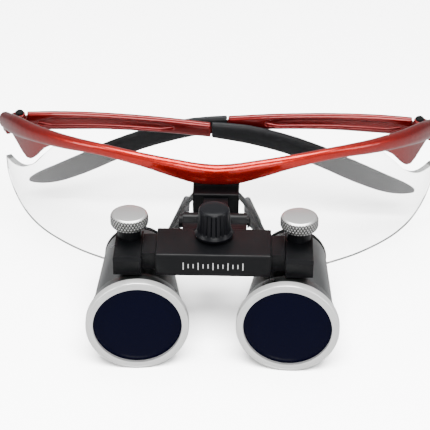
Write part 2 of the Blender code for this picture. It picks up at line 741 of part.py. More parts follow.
def build_centre_knob(module):
    top = HOUSING_BOTTOM + HOUSING_HEIGHT
    _, (_, ceiling) = cavity()
    pivot = empty("centre_knob_axis", module, (0, CENTRE_KNOB_Y, top + CENTRE_KNOB_LIFT))
    high = CENTRE_KNOB_HEIGHT
    profile = (
        (0, high),
        (CENTRE_TOP_R - 0.7, high),
        (CENTRE_TOP_R, high - 0.6),
        (CENTRE_BASE_R, CENTRE_SKIRT_HEIGHT + 0.9),
        (CENTRE_SKIRT_R, CENTRE_SKIRT_HEIGHT),
        (CENTRE_SKIRT_R, 0.2),
        (CENTRE_SKIRT_R - 0.2, 0),
        (CENTRE_STUD_R + SEAT, 0),
        (CENTRE_STUD_R + SEAT, 5.0),
        (0, 5.0),
    )
    turned("centre_knob", profile, BLACK_PLASTIC, pivot, steps=36)
    low = ceiling - top - CENTRE_KNOB_LIFT - FIT / 2
    stud = ((0, 4.8), (CENTRE_STUD_R, 4.8), (CENTRE_STUD_R, low + 0.3), (CENTRE_STUD_R - 0.4, low), (0, low))
    turned("centre_stud", stud, STEEL, pivot, steps=20)
    washer = (
        (CENTRE_STUD_R + SEAT, -0.1),
        (3.4, -0.1),
        (3.4, -CENTRE_KNOB_LIFT + 0.1),
        (CENTRE_STUD_R + SEAT, -CENTRE_KNOB_LIFT + 0.1),
    )
    turned("centre_washer", washer, BLACK_PLASTIC, pivot, steps=20)


def bar_outline():
    """Side view (x, z) of a slide bar, from its end inside the housing outwards."""
    _, (z0, z1) = cavity()
    low, full = z0 + SEAT * 2, z1 - SEAT * 2
    lowered = full - BAR_TONGUE_DROP
    mouth = HOUSING_WIDTH / 2
    inner, outer = mouth - BAR_SHOULDER, mouth + END_GAP - SEAT
    return (
        (BAR_INNER_END, low),
        (outer + BAR_TENON, low),
        (outer + BAR_TENON, lowered),
        (outer, lowered),
        (outer, full),
        (inner, full),
        (inner, lowered),
        (BAR_INNER_END, lowered),
    )


def flat_piece(name, outline, thickness, surface, parent, location, rotation):
    """A plate cut from a closed outline, as thick as asked, centred on its location."""
    curve = bpy.data.curves.new(name, "CURVE")
    curve.dimensions = "2D"
    curve.fill_mode = "BOTH"
    curve.extrude = thickness / 2 * MM
    line = curve.splines.new("POLY")
    line.points.add(len(outline) - 1)
    for point, (a, b) in zip(line.points, outline):
        point.co = (a * MM, b * MM, 0, 1)
    line.use_cyclic_u = True
    curve.materials.append(surface)
    made = bpy.data.objects.new(name, curve)
    PARTS.objects.link(made)
    put(made, parent, location, rotation)
    return made


def build_carriage(side, s, module):
    """A slide bar and the end block on it, which carry one barrel."""
    (y0, y1), _ = cavity()
    carriage = empty(f"slide_{side}", module)
    outline = [(s * x, z) for x, z in bar_outline()]
    flat_piece(f"slide_bar_{side}", outline, y1 - y0 - 4 * SEAT, BLACK_METAL, carriage,
               (0, (y0 + y1) / 2, 0), (90, 0, 0))
    inner = HOUSING_WIDTH / 2 + END_GAP
    outer = inner + END_WIDTH
    low = HOUSING_BOTTOM
    top = low + END_HEIGHT
    x_low, x_high = sorted((s * inner, s * outer))
    block = box(f"end_block_{side}", (x_low, HOUSING_FRONT, low), (x_high, HOUSING_FRONT + END_DEPTH, top),
                BLACK_METAL, carriage, bevel=0.25)
    slope = box(f"end_chamfer_{side}", (x_low - 1, -2 * END_CHAMFER, -END_CHAMFER),
                (x_high + 1, 2 * END_CHAMFER, END_CHAMFER), None, carriage, rotation=(45, 0, 0))
    half_step = END_CHAMFER * (1 - 1 / math.sqrt(2) - 0.5)
    slope.location.y = (HOUSING_FRONT + half_step - END_CHAMFER * (math.sqrt(0.5) - 0.5)) * MM
    slope.location.z = (top - half_step + END_CHAMFER * (math.sqrt(0.5) - 0.5)) * MM
    tenon_low, tenon_high = bar_outline()[0][1], bar_outline()[2][1]
    pocket_low, pocket_high = sorted((s * (inner - 1), s * (inner + BAR_TENON + SEAT)))
    pocket = box(f"end_pocket_{side}", (pocket_low, y0 + SEAT, tenon_low - SEAT),
                 (pocket_high, y1 - SEAT, tenon_high + SEAT), None, carriage)
    lock_x = s * (inner + outer) / 2
    hole = rod(f"end_stud_hole_{side}", LOCK_STUD_R + SEAT, 20, None, carriage, (lock_x, LOCK_KNOB_Y, top), sides=20)
    cut(block, slope, pocket, hole)
    collar = (
        (LOCK_STUD_R + SEAT, LOCK_COLLAR_HEIGHT),
        (LOCK_COLLAR_R - 0.3, LOCK_COLLAR_HEIGHT),
        (LOCK_COLLAR_R, LOCK_COLLAR_HEIGHT - 0.3),
        (LOCK_COLLAR_R, 0),
        (LOCK_STUD_R + SEAT, 0),
    )
    turned(f"lock_collar_{side}", collar, BLACK_METAL, carriage, (lock_x, LOCK_KNOB_Y, top + SEAT), steps=32)
    build_lock_knob(side, carriage, lock_x, top + LOCK_COLLAR_HEIGHT + 2 * SEAT)
    build_barrel(side, s, carriage, lock_x)


def build_lock_knob(side, carriage, x, seat):
    pivot = empty(f"lock_knob_axis_{side}", carriage, (x, LOCK_KNOB_Y, seat))
    neck, high = LOCK_NECK_HEIGHT, LOCK_NECK_HEIGHT + LOCK_KNOB_HEIGHT
    profile = (
        (0, high),
        (LOCK_KNOB_R - 0.5, high),
        (LOCK_KNOB_R, high - 0.4),
        (LOCK_KNOB_R, neck + 0.3),
        (LOCK_KNOB_R - 0.4, neck),
        (LOCK_NECK_R, neck),
        (LOCK_NECK_R, 0),
        (LOCK_STUD_R + SEAT, 0),
        (LOCK_STUD_R + SEAT, neck + 1.5),
        (0, neck + 1.5),
    )
    turned(f"lock_knob_{side}", profile, SILVER, pivot, steps=36)
    low = HOUSING_BOTTOM - FIT - 1.0 - seat
    stud = (
        (0, neck + 1.3),
        (LOCK_STUD_R, neck + 1.3),
        (LOCK_STUD_R, low + 0.3),
        (LOCK_STUD_R - 0.3, low),
        (0, low),
    )
    turned(f"lock_stud_{side}", stud, STEEL, pivot, steps=20)


# ---- barrels -----------------------------------------------------------------------------------------


def lens_depth(radius, curvature):
    return curvature - math.sqrt(curvature ** 2 - radius ** 2)


def body_radius(z):
    """Outer radius of the tapered body at a height on the barrel's own axis, front face at 0."""
    front, back = body_ends()
    return BODY_FRONT_R + (BODY_END_R - BODY_FRONT_R) * (front - z) / (front - back)


def body_ends():
    front = -RING_LENGTH - FIT - COLLAR_LENGTH - SEAL_HEIGHT - 2 * SEAT
    return front, front - BODY_LENGTH


def build_barrel(side, s, carriage, lock_x):
    """One telescope. Its own +Z points out of the front lens."""
    swivel = empty(f"barrel_swivel_{side}", carriage, (lock_x, LOCK_KNOB_Y, HOUSING_BOTTOM))
    front = Vector((s * BARREL_X, 0, BARREL_Z))
    axis = empty(f"barrel_axis_{side}", swivel, front - Vector((lock_x, LOCK_KNOB_Y, HOUSING_BOTTOM)),
                 (90 + NOSE_DOWN, 0, -s * TOE_IN))
    build_objective(side, axis)
    build_body(side, axis)
    build_eyepiece(side, axis)
    body_front, body_back = body_ends()
    saddle = rod(f"foot_saddle_{side}", BODY_END_R + FIT, BODY_LENGTH, None, axis,
                 (0, 0, (body_front + body_back) / 2), sides=40, end_radius=BODY_FRONT_R + FIT)
    high = -FIT
    foot = box(f"barrel_foot_{side}", (-FOOT_HALF_WIDTH, FOOT_FRONT - LOCK_KNOB_Y, high - FOOT_HEIGHT),
               (FOOT_HALF_WIDTH, FOOT_BACK - LOCK_KNOB_Y, high), BLACK_METAL, swivel)
    thread = rod(f"foot_thread_{side}", LOCK_STUD_R + SEAT, 6, None, swivel, sides=20)
    cut(foot, saddle, thread)


def build_objective(side, axis):
    bore = LENS_R + FIT
    ring = (
        (RING_LIP_R, -0.3),
        (RING_LIP_R + 0.3, 0),
        (RING_R - 0.4, 0),
        (RING_R, -0.4),
        (RING_R, -RING_LENGTH),
        (bore, -RING_LENGTH),
        (bore, -1.1),
        (RING_LIP_R, -1.1),
    )
    turned(f"front_ring_{side}", ring, SILVER, axis, steps=48)
    crown, back = -0.25, -3.9
    steps = 5
    radii = [LENS_R * k / steps for k in range(steps + 1)]
    lens = [(r, crown - lens_depth(r, LENS_FRONT_R)) for r in radii]
    lens += [(r, back + lens_depth(r, LENS_FRONT_R * 1.25)) for r in reversed(radii)]
    turned(f"objective_lens_{side}", lens, COATED_GLASS, axis, steps=40)
    top = -RING_LENGTH - FIT
    low = top - COLLAR_LENGTH
    inner = SPIGOT_R + FIT
    collar = (
        (inner - 0.6, top),
        (COLLAR_R - 0.3, top),
        (COLLAR_R, top - 0.3),
        (COLLAR_R, low),
        (inner, low),
        (inner, top - 1.6),
        (inner - 0.6, top - 1.6),
    )
    turned(f"focus_collar_{side}", collar, SATIN_GREY, axis, steps=40)
    seal_top = low - SEAT
    seal = (
        (SPIGOT_R + SEAT, seal_top),
        (COLLAR_R - 0.5, seal_top),
        (COLLAR_R - 0.5, seal_top - SEAL_HEIGHT),
        (SPIGOT_R + SEAT, seal_top - SEAL_HEIGHT),
    )
    turned(f"seal_ring_{side}", seal, BLACK_RUBBER, axis, steps=36)


def build_body(side, axis):
    front, back = body_ends()
    collar_low = -RING_LENGTH - FIT - COLLAR_LENGTH
    spigot_top = collar_low + COLLAR_LENGTH - 1.6 - FIT - 0.1
    throat = SPIGOT_R - BODY_WALL
    body = (
        (throat, spigot_top),
        (SPIGOT_R, spigot_top),
        (SPIGOT_R, front),
        (BODY_FRONT_R - 0.2, front),
        (BODY_FRONT_R, front - 0.2),
        (BODY_END_R, back),
        (BODY_BORE_R, back),
        (BODY_BORE_R, back + 4.0),
        (BODY_BORE_R + 0.4, back + 4.0),
        (throat, front - 3.0),
    )
    turned(f"barrel_body_{side}", body, SATIN_GREY, axis, steps=40)
    stop_z = (front + back) / 2
    stop_r = min(throat, body_radius(stop_z) - BODY_WALL) - 1.2
    stop = ((stop_r - 2.4, stop_z), (stop_r, stop_z), (stop_r, stop_z - 1.0), (stop_r - 2.4, stop_z - 1.0))
    turned(f"field_stop_{side}", stop, BLACK_METAL, axis, steps=32)


def build_eyepiece(side, axis):
    _, back = body_ends()
    lens_r = BODY_BORE_R - 2 * SEAT
    low = back + 1.2
    high = low + OCULAR_THICK
    radii = [lens_r * k / 3 for k in range(4)]
    lens = [(r, high - 0.6 + lens_depth(r, 70)) for r in radii]
    lens += [(r, low + 0.6 - lens_depth(r, 70)) for r in reversed(radii)]
    turned(f"ocular_lens_{side}", lens, CLEAR_GLASS, axis, steps=32)
    seat = back - SEAT
    ring = (
        (lens_r - 1.0, back + 0.9),
        (lens_r, back + 0.9),
        (lens_r, seat),
        (BODY_END_R, seat),
        (BODY_END_R + 0.1, seat - EYE_RING_LENGTH + 0.4),
        (BODY_END_R - 0.3, seat - EYE_RING_LENGTH),
        (lens_r - 0.3, seat - EYE_RING_LENGTH),
    )
    turned(f"eyepiece_ring_{side}", ring, BLACK_METAL, axis, steps=36)


# ---- assembly -------------------------------------------------------------------------------------------


def lowest_shield_drop():
    """How far the shield's lowest edge hangs below the glasses' origin when they lean."""
    lean = math.radians(LEAN)
    lowest = 0.0
    for k in range(301):
        x = SHIELD_HALF_WIDTH * k / 300
        for radius in (shield_radius() - SHIELD_WALL / 2, shield_radius() + SHIELD_WALL / 2):
            point = on_wrap(radius, x, values_between(SHIELD_BOTTOM, x))
            lowest = min(lowest, point.y * math.sin(lean) + point.z * math.cos(lean))
    return -lowest


def footprint():
    """Lowest and highest corner of every solid, in metres."""
    bpy.context.view_layer.update()
    graph = bpy.context.evaluated_depsgraph_get()
    points = []
    for obj in PARTS.objects:
        if obj.type == "EMPTY":
            continue
        solid = obj.evaluated_get(graph)
        mesh = solid.to_mesh()
        points += [solid.matrix_world @ vert.co for vert in mesh.vertices]
        solid.to_mesh_clear()
    low = Vector([min(point[k] for point in points) for k in range(3)])
    high = Vector([max(point[k] for point in points) for k in range(3)])
    return low, high


def build():
    stand = empty("loupes", None)
    glasses = empty("glasses", stand, (0, FRAME_Y, lowest_shield_drop()), (LEAN, 0, 0))
    build_brow_bar(glasses)
    build_shield(glasses)
    build_nose_piece(glasses)
    for (side, s), fold, bend in zip(SIDES, (FOLD_LEFT, FOLD_RIGHT), (TIP_BEND_LEFT, TIP_BEND_RIGHT)):
        build_temple_screw(side, s, glasses)
        build_temple(side, s, glasses, fold, bend)
    tilt = empty("tilt_axis", stand, (0, TILT_Y, TILT_Z))
    module = empty("loupe_module", tilt, (0, -TILT_Y, -TILT_Z))
    build_clip(glasses, tilt)
    screw_z = build_yoke(tilt)
    build_tilt_pin(tilt)
    build_housing(module, screw_z)
    build_centre_knob(module)
    for side, s in SIDES:
        build_carriage(side, s, module)
    low, high = footprint()
    stand.location = (-(low.x + high.x) / 2, -(low.y + high.y) / 2, -low.z)


clear_scene()
PARTS = new_collection("dental_loupes")
HELPERS = new_collection("cutters")
RED_PAINT = finish("red_paint", (0.55, 0.03, 0.02), 0.6, 0.3)
BLACK_RUBBER = finish("black_rubber", (0.02, 0.02, 0.025), 0.0, 0.7)
CLEAR_RUBBER = finish("soft_pad", (0.03, 0.03, 0.035), 0.0, 0.6)
BLACK_PLASTIC = finish("black_plastic", (0.02, 0.02, 0.022), 0.0, 0.5)
BLACK_METAL = finish("black_anodised", (0.015, 0.015, 0.018), 0.8, 0.45)
CLEAR_LENS = finish("clear_polycarbonate", (0.95, 0.97, 0.98), 0.0, 0.05, 1.0)
CLEAR_GLASS = finish("clear_glass", (0.9, 0.95, 0.95), 0.0, 0.02, 1.0)
COATED_GLASS = finish("coated_glass", (0.01, 0.01, 0.06), 0.0, 0.05)
SILVER = finish("silver_aluminium", (0.8, 0.8, 0.79), 1.0, 0.3)
SATIN_GREY = finish("satin_grey", (0.42, 0.43, 0.44), 0.9, 0.35)
STEEL = finish("steel", (0.6, 0.6, 0.6), 1.0, 0.3)
BRASS = finish("brass", (0.6, 0.45, 0.2), 1.0, 0.35)
build()
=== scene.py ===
import json
import math

import bpy
from mathutils import Matrix, Vector

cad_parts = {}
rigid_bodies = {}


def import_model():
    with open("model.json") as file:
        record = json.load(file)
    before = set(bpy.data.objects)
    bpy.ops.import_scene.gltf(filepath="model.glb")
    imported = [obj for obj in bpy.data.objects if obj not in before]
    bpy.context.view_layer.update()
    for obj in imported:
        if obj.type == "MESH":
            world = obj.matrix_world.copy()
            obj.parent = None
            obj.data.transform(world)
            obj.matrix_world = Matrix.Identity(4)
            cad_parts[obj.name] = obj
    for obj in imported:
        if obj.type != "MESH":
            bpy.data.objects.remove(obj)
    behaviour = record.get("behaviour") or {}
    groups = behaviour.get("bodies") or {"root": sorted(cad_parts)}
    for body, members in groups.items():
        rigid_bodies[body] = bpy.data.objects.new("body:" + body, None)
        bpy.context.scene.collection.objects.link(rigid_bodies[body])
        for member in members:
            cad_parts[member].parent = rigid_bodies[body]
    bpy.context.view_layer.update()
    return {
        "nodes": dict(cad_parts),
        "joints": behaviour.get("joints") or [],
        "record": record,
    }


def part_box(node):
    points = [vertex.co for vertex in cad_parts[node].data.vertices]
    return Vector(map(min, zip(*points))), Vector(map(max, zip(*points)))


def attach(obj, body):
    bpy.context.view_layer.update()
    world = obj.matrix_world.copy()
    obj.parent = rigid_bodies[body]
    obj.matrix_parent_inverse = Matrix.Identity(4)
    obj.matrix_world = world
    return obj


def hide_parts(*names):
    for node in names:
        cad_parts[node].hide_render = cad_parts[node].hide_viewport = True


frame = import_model()
record = frame["record"]
joints = {joint["name"]: joint for joint in frame["joints"]}
mounts = {mount["name"]: mount for mount in record["mounts"]}
mm = 0.001
sides = {"left": -1, "right": 1}


# small workshop helpers

def deselectAll():
    if bpy.context.mode != "OBJECT":
        bpy.ops.object.mode_set(mode="OBJECT")
    bpy.ops.object.select_all(action="DESELECT")


def take(obj):
    deselectAll()
    obj.select_set(True)
    bpy.context.view_layer.objects.active = obj
    return obj


def applyAll(obj):
    take(obj)
    for modifier in list(obj.modifiers):
        bpy.ops.object.modifier_apply(modifier=modifier.name)


def addModifier(obj, kind, **settings):
    modifier = obj.modifiers.new(kind.title(), kind)
    for key, value in settings.items():
        setattr(modifier, key, value)
    return modifier


def place(obj, matrix):
    # moved into its mesh, so that the object stays at the origin
    obj.data.transform(matrix)
    obj.data.update()
    return obj


def smooth(obj, angle=35):
    take(obj)
    bpy.ops.object.shade_smooth_by_angle(angle=math.radians(angle))
    return obj


def dress(obj, material, body, replaced=()):
    obj.data.materials.clear()
    obj.data.materials.append(material)
    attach(obj, body)
    if replaced:
        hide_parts(*replaced)
    return obj


def recalculate(obj):
    take(obj)
    bpy.ops.object.mode_set(mode="EDIT")
    bpy.ops.mesh.select_all(action="SELECT")
    bpy.ops.mesh.remove_doubles(threshold=0.000002)
    bpy.ops.mesh.normals_make_consistent(inside=False)
    bpy.ops.object.mode_set(mode="OBJECT")
    return obj


def turn(name, profile, steps=96):
    # a ring of points drawn up and down its own axis (mm), with one extrude
    # and one resize for each point of the profile
    deselectAll()
    startRadius, startHeight = profile[0]
    closed = startRadius > 0
    bpy.ops.mesh.primitive_circle_add(vertices=steps, radius=max(startRadius, 0.02) * mm, location=(0, 0, 0))
    obj = bpy.context.object
    obj.name = name
    obj.data.name = name
    bpy.ops.object.mode_set(mode="EDIT")
    bpy.ops.mesh.select_all(action="SELECT")
    bpy.ops.transform.translate(value=(0, 0, startHeight * mm))
    if not closed:
        bpy.ops.mesh.edge_face_add()
    radius, height = max(startRadius, 0.02), startHeight
    points = list(profile[1:]) + ([profile[0]] if closed else [])
    for nextRadius, nextHeight in points:
        nextRadius = max(nextRadius, 0.02)
        if not closed and radius == 0.02 and nextRadius > 0.02 and height == nextHeight:
            bpy.ops.mesh.select_all(action="SELECT")
            bpy.ops.transform.resize(value=(nextRadius / radius, nextRadius / radius, 1))
            radius = nextRadius
            continue
        bpy.ops.mesh.extrude_region_move(TRANSFORM_OT_translate={"value": (0, 0, (nextHeight - height) * mm)})
        scale = nextRadius / radius
        if scale != 1:
            bpy.ops.transform.resize(value=(scale, scale, 1), center_override=(0, 0, nextHeight * mm))
        radius, height = nextRadius, nextHeight
    if closed:
        bpy.ops.mesh.select_all(action="SELECT")
        bpy.ops.mesh.remove_doubles(threshold=0.000002)
    bpy.ops.mesh.select_all(action="SELECT")
    bpy.ops.mesh.normals_make_consistent(inside=False)
    bpy.ops.object.mode_set(mode="OBJECT")
    return obj


def duplicateNode(node, name):
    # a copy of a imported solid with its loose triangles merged
    source = frame["nodes"][node]
    obj = bpy.data.objects.new(name, source.data.copy())
    bpy.context.scene.collection.objects.link(obj)
    return recalculate(obj)


def softenedNode(node, name, voxel, rounds):
    # a finer skin over a imported solid, with its hard edges eased
    obj = duplicateNode(node, name)
    addModifier(obj, "REMESH", mode="VOXEL", voxel_size=voxel * mm, adaptivity=0.0)
    addModifier(obj, "SMOOTH", factor=0.5, iterations=rounds)
    applyAll(obj)
    return smooth(obj, 80)


# materials

def newMaterial(name, colour, metallic=0.0, roughness=0.5, coat=0.0, coatRoughness=0.05, transmission=0.0, ior=1.5,
                specular=0.5):
    material = bpy.data.materials.new(name)
    material.use_nodes = True
    shader = material.node_tree.nodes["Principled BSDF"]
    shader.inputs["Base Color"].default_value = (*colour, 1)
    shader.inputs["Metallic"].default_value = metallic
    shader.inputs["Roughness"].default_value = roughness
    shader.inputs["Coat Weight"].default_value = coat
    shader.inputs["Coat Roughness"].default_value = coatRoughness
    shader.inputs["Transmission Weight"].default_value = transmission
    shader.inputs["IOR"].default_value = ior
    shader.inputs["Specular IOR Level"].default_value = specular
    return material


def addNode(material, kind, **settings):
    node = material.node_tree.nodes.new(kind)
    for key, value in settings.items():
        if key in node.inputs:
            node.inputs[key].default_value = value
        else:
            setattr(node, key, value)
    return node


def link(material, start, end):
    material.node_tree.links.new(start, end)


def grain(material, scale, depth, distance=0.00002):
    # fine surface grain as bump, on the piece's own coordinates
    shader = material.node_tree.nodes["Principled BSDF"]
    place = addNode(material, "ShaderNodeTexCoord")
    noise = addNode(material, "ShaderNodeTexNoise", Scale=scale, Detail=4.0, Roughness=0.6)
    bump = addNode(material, "ShaderNodeBump", Strength=depth, Distance=distance)
    link(material, place.outputs["Object"], noise.inputs["Vector"])
    link(material, noise.outputs["Fac"], bump.inputs["Height"])
    link(material, bump.outputs["Normal"], shader.inputs["Normal"])
    return noise


def mottle(material, scale, low, high, socket="Roughness"):
    # a slow change of one value over the surface
    shader = material.node_tree.nodes["Principled BSDF"]
    place = addNode(material, "ShaderNodeTexCoord")
    noise = addNode(material, "ShaderNodeTexNoise", Scale=scale, Detail=3.0)
    spread = addNode(material, "ShaderNodeMapRange")
    spread.inputs["From Min"].default_value = 0.3
    spread.inputs["From Max"].default_value = 0.7
    spread.inputs["To Min"].default_value = low
    spread.inputs["To Max"].default_value = high
    link(material, place.outputs["Object"], noise.inputs["Vector"])
    link(material, noise.outputs["Fac"], spread.inputs["Value"])
    link(material, spread.outputs["Result"], shader.inputs[socket])


# the darker red is painted shade for the brow's two ends, where the bar turns away from the light; the brighter
# one is the lacquer's own red
lacquer = {"paintedShadeEnds": (0.16, 0.002, 0.003), "bright": (0.62, 0.012, 0.003), "flakeScale": 4200, "roughness": 0.30}


def makeRedLacquer():
    material = newMaterial("redFlakeLacquer", lacquer["bright"], 0.80, lacquer["roughness"], coat=0.7,
                           coatRoughness=0.05)
    shader = material.node_tree.nodes["Principled BSDF"]
    place = addNode(material, "ShaderNodeTexCoord")
    flake = addNode(material, "ShaderNodeTexVoronoi", Scale=lacquer["flakeScale"])
    spread = addNode(material, "ShaderNodeMapRange")
    spread.inputs["To Min"].default_value = 0.66
    spread.inputs["To Max"].default_value = 1.30
    split = addNode(material, "ShaderNodeSeparateXYZ")
    away = addNode(material, "ShaderNodeMath", operation="ABSOLUTE")
    # the red darkens with |X| towards both ends of the brow: painted shade
    ends = addNode(material, "ShaderNodeMapRange")
    ends.inputs["From Min"].default_value = 0.026
    ends.inputs["From Max"].default_value = 0.074
    blend = addNode(material, "ShaderNodeMix", data_type="RGBA")
    blend.inputs["A"].default_value = (*lacquer["bright"], 1)
    blend.inputs["B"].default_value = (*lacquer["paintedShadeEnds"], 1)
    tint = addNode(material, "ShaderNodeMix", data_type="RGBA", blend_type="MULTIPLY")
    tint.inputs["Factor"].default_value = 1.0
    bump = addNode(material, "ShaderNodeBump", Strength=0.12, Distance=0.00002)
    link(material, place.outputs["Object"], flake.inputs["Vector"])
    link(material, place.outputs["Object"], split.inputs["Vector"])
    link(material, split.outputs["X"], away.inputs[0])
    link(material, away.outputs[0], ends.inputs["Value"])
    link(material, ends.outputs["Result"], blend.inputs["Factor"])
    link(material, flake.outputs["Color"], spread.inputs["Value"])
    link(material, blend.outputs["Result"], tint.inputs["A"])
    link(material, spread.outputs["Result"], tint.inputs["B"])
    link(material, tint.outputs["Result"], shader.inputs["Base Color"])
    link(material, flake.outputs["Color"], bump.inputs["Height"])
    link(material, bump.outputs["Normal"], shader.inputs["Normal"])
    return material


redLacquer = makeRedLacquer()
templeRed = newMaterial("templeRedLacquer", (0.20, 0.004, 0.004), 0.75, 0.28, coat=0.7, coatRoughness=0.05)
grain(templeRed, 5200, 0.10)
softBlack = newMaterial("softBlackRubber", (0.008, 0.0085, 0.010), 0.0, 0.50, specular=0.30)
grain(softBlack, 2600, 0.25)
padClear = newMaterial("nosePadSilicone", (0.030, 0.030, 0.034), 0.0, 0.45)
grain(padClear, 1800, 0.2)
blackPlastic = newMaterial("blackMouldedPlastic", (0.0035, 0.0038, 0.0055), 0.0, 0.34, specular=0.20)
grain(blackPlastic, 3000, 0.22)
blackAnodised = newMaterial("blackAnodised", (0.003, 0.0032, 0.004), 0.0, 0.34, specular=0.18)
grain(blackAnodised, 4200, 0.25)
mottle(blackAnodised, 140, 0.30, 0.44)
silver = newMaterial("turnedSilver", (0.80, 0.80, 0.79), 0.9, 0.30)
grain(silver, 2500, 0.06)
ringSilver = newMaterial("polishedRing", (0.94, 0.94, 0.93), 0.55, 0.28)
grain(ringSilver, 2500, 0.03)
satinGrey = newMaterial("satinGreyBarrel", (0.22, 0.225, 0.23), 1.0, 0.28)
grain(satinGrey, 3600, 0.08)
mottle(satinGrey, 90, 0.26, 0.36)
steel = newMaterial("screwSteel", (0.62, 0.62, 0.62), 1.0, 0.28)
brass = newMaterial("washerBrass", (0.30, 0.21, 0.09), 1.0, 0.35)
clearShield = newMaterial("clearShield", (1.0, 1.0, 1.0), 0.0, 0.0, transmission=0.93, ior=1.38)
clearGlass = newMaterial("clearOcular", (0.95, 0.98, 0.98), 0.0, 0.0, transmission=1.0, ior=1.5)
markWhite = newMaterial("printedWhite", (0.80, 0.80, 0.80), 0.0, 0.5)
coatedGlass = newMaterial("coatedObjective", (0.0008, 0.0011, 0.0105), 0.0, 0.03, specular=0.06)
print("materials ready")

finishes = {
    "red_paint": redLacquer,
    "black_rubber": softBlack,
    "soft_pad": padClear,
    "black_plastic": blackPlastic,
    "black_anodised": blackAnodised,
    "clear_polycarbonate": clearShield,
    "clear_glass": clearGlass,
    "coated_glass": coatedGlass,
    "silver_aluminium": silver,
    "satin_grey": satinGrey,
    "steel": steel,
    "brass": brass,
}
for part in record["subparts"]:
    mesh = frame["nodes"][part["node"]].data
    mesh.materials.clear()
    mesh.materials.append(finishes[part["material_slot"]])


# glasses

# voxel size in mm, and rounds of smoothing
skins = {"brow": (0.40, 16), "arm": (0.26, 9), "tip": (0.30, 26), "pad": (0.25, 8), "saddle": (0.28, 6)}

brow = softenedNode("brow_bar", "browBar", *skins["brow"])
dress(brow, redLacquer, "glasses", ["brow_bar"])
for side in sides:
    arm = softenedNode(f"temple_arm_{side}", f"templeArm.{side}", *skins["arm"])
    dress(arm, templeRed, f"temple_{side}", [f"temple_arm_{side}"])
    tip = softenedNode(f"temple_tip_{side}", f"templeTip.{side}", *skins["tip"])
    dress(tip, softBlack, f"temple_{side}", [f"temple_tip_{side}"])
    pad = softenedNode(f"nose_pad_{side}", f"nosePad.{side}", *skins["pad"])
    dress(pad, padClear, "glasses", [f"nose_pad_{side}"])
saddle = softenedNode("nose_bridge", "noseSaddle", *skins["saddle"])
dress(saddle, blackPlastic, "glasses", ["nose_bridge"])


shield = {
    "wrap": 89.0, "radius": 85.4, "wall": 2.0, "halfWidth": 80.0, "lean": 10.0, "hinge": (0, 43.9993, -13.0),
    "columns": 150, "rows": 22, "round": 0.45, "screwHole": 1.3, "screw": (4.6, -7.3),
    "top": ((0, -1.0), (25, 1.0), (40, 0.6), (54, -3.5), (62, -14.5), (67, -23.0), (73, -30.5), (80, -35.0)),
    "bottom": ((0, -15.5), (5, -16.5), (12, -26.0), (20, -39.0), (28, -47.0), (36, -49.3), (43, -49.9),
               (50, -50.6), (57, -51.2), (67, -52.0), (73, -51.0), (77, -48.0), (79.3, -44.0), (80, -41.5)),
}


def lineValue(points, x):
    # a smooth line through the points
    last = len(points) - 2
    i = next((k for k in range(last + 1) if x <= points[k + 1][0]), last)

    def slope(k):
        low, high = max(k - 1, 0), min(k + 1, len(points) - 1)
        return (points[high][1] - points[low][1]) / (points[high][0] - points[low][0])

    (x0, y0), (x1, y1) = points[i], points[i + 1]
    span = x1 - x0
    t = min(max((x - x0) / span, 0), 1)
    rise = (1 + 2 * t) * (1 - t) ** 2 * y0 + t * t * (3 - 2 * t) * y1
    return rise + span * (t * (1 - t) ** 2 * slope(i) - t * t * (1 - t) * slope(i + 1))


def glassesPlace():
    # the leaning frame of the glasses, from the two temple hinges
    left, right = (Vector(joints[f"temple_{side}_fold"]["pos_m"]) for side in ("left", "right"))
    turned = Matrix.Rotation(math.radians(shield["lean"]), 4, "X")
    origin = (left + right) / 2 - turned @ (Vector(shield["hinge"]) * mm)
    return Matrix.Translation(origin) @ turned


def makeShield():
    size = shield
    deselectAll()
    bpy.ops.mesh.primitive_grid_add(x_subdivisions=size["columns"], y_subdivisions=size["rows"], size=1)
    sheet = bpy.context.object
    sheet.name = sheet.data.name = "shieldLens"
    for vert in sheet.data.vertices:
        # columns crowd together towards the rounded ends
        x = size["halfWidth"] * math.sin(math.pi * vert.co.x)
        low, high = lineValue(size["bottom"], abs(x)), lineValue(size["top"], abs(x))
        around = math.asin(x / size["wrap"])
        vert.co = Vector((size["radius"] * math.sin(around), size["wrap"] - size["radius"] * math.cos(around),
                          low + (vert.co.y + 0.5) * (high - low))) * mm
    addModifier(sheet, "SOLIDIFY", thickness=size["wall"] * mm, offset=0)
    addModifier(sheet, "BEVEL", width=size["round"] * mm, segments=3, limit_method="ANGLE",
                angle_limit=math.radians(50))
    applyAll(sheet)
    cutters = []
    for way in (-1, 1):
        deselectAll()
        bpy.ops.mesh.primitive_cylinder_add(vertices=32, radius=size["screwHole"] * mm, depth=0.02,
                                            location=(way * size["screw"][0] * mm, 0.0036, size["screw"][1] * mm),
                                            rotation=(math.radians(90), 0, 0))
        cutters.append(bpy.context.object)
        addModifier(sheet, "BOOLEAN", operation="DIFFERENCE", object=cutters[-1])
    applyAll(sheet)
    for cutter in cutters:
        bpy.data.objects.remove(cutter, do_unlink=True)
    recalculate(sheet)
    place(smooth(sheet, 40), glassesPlace())
    dress(sheet, clearShield, "glasses", ["shield_lens"])


makeShield()
print("glasses done")


# barrels

barrel = {
    "ringRadius": 16.35, "ringLength": 3.0, "lipRadius": 14.0, "lensRadius": 14.6,
    "collarRadius": 14.9, "collarLength": 4.9, "bodyFront": 14.3, "bodyBack": 10.9,
    "bodyStart": -9.0, "bodyEnd": -40.2, "steps": 160, "mountRadius": 15.1, "gap": 0.3,
    "frontCurve": 85, "backCurve": 106, "lensEdge": -0.25, "lensBack": -3.9,
}


